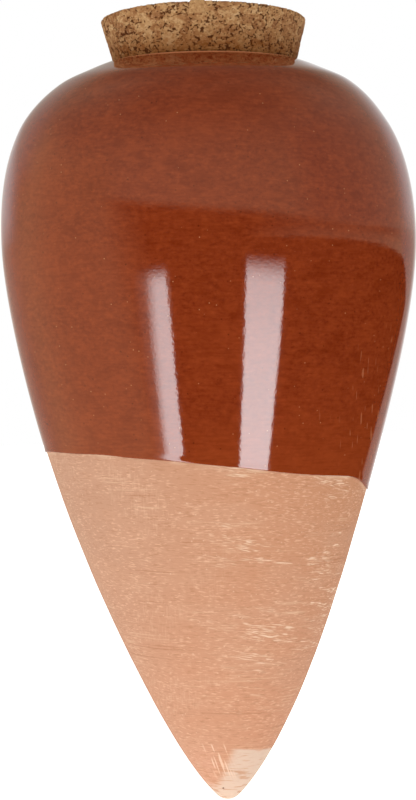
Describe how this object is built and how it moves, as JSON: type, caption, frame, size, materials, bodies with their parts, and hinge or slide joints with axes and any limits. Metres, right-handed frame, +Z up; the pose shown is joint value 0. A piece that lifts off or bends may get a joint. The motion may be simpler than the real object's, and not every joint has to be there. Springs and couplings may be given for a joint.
{
  "type": "irrigation olla",
  "caption": "Pointed terracotta watering vessel, glazed above the soil line and bare below it, with a tapered cork that lifts out of its mouth.",
  "frame": {"origin": "on the vessel's axis at the soil line, the mean level where the glaze ends", "axes": "+Z up along the vessel's axis to the cork; -Y is the side that the picture shows"},
  "size_m": [0.12, 0.12, 0.2258],
  "materials": {
    "terracotta": "bare fired earthenware, matt, wiped smooth",
    "brown_glaze": "glossy red-brown glaze with a fine mottle",
    "pressed_cork": "pressed cork granules, matt"
  },
  "bodies": {
    "vessel": {"olla_body": "terracotta", "glaze_coat": "brown_glaze"},
    "cork": {"cork_stopper": "pressed_cork"}
  },
  "joints": [
    {"name": "cork_lift", "type": "slide", "parent": "vessel", "child": "cork", "axis": [0, 0, 1], "range_m": [0, 0.08]}
  ]
}
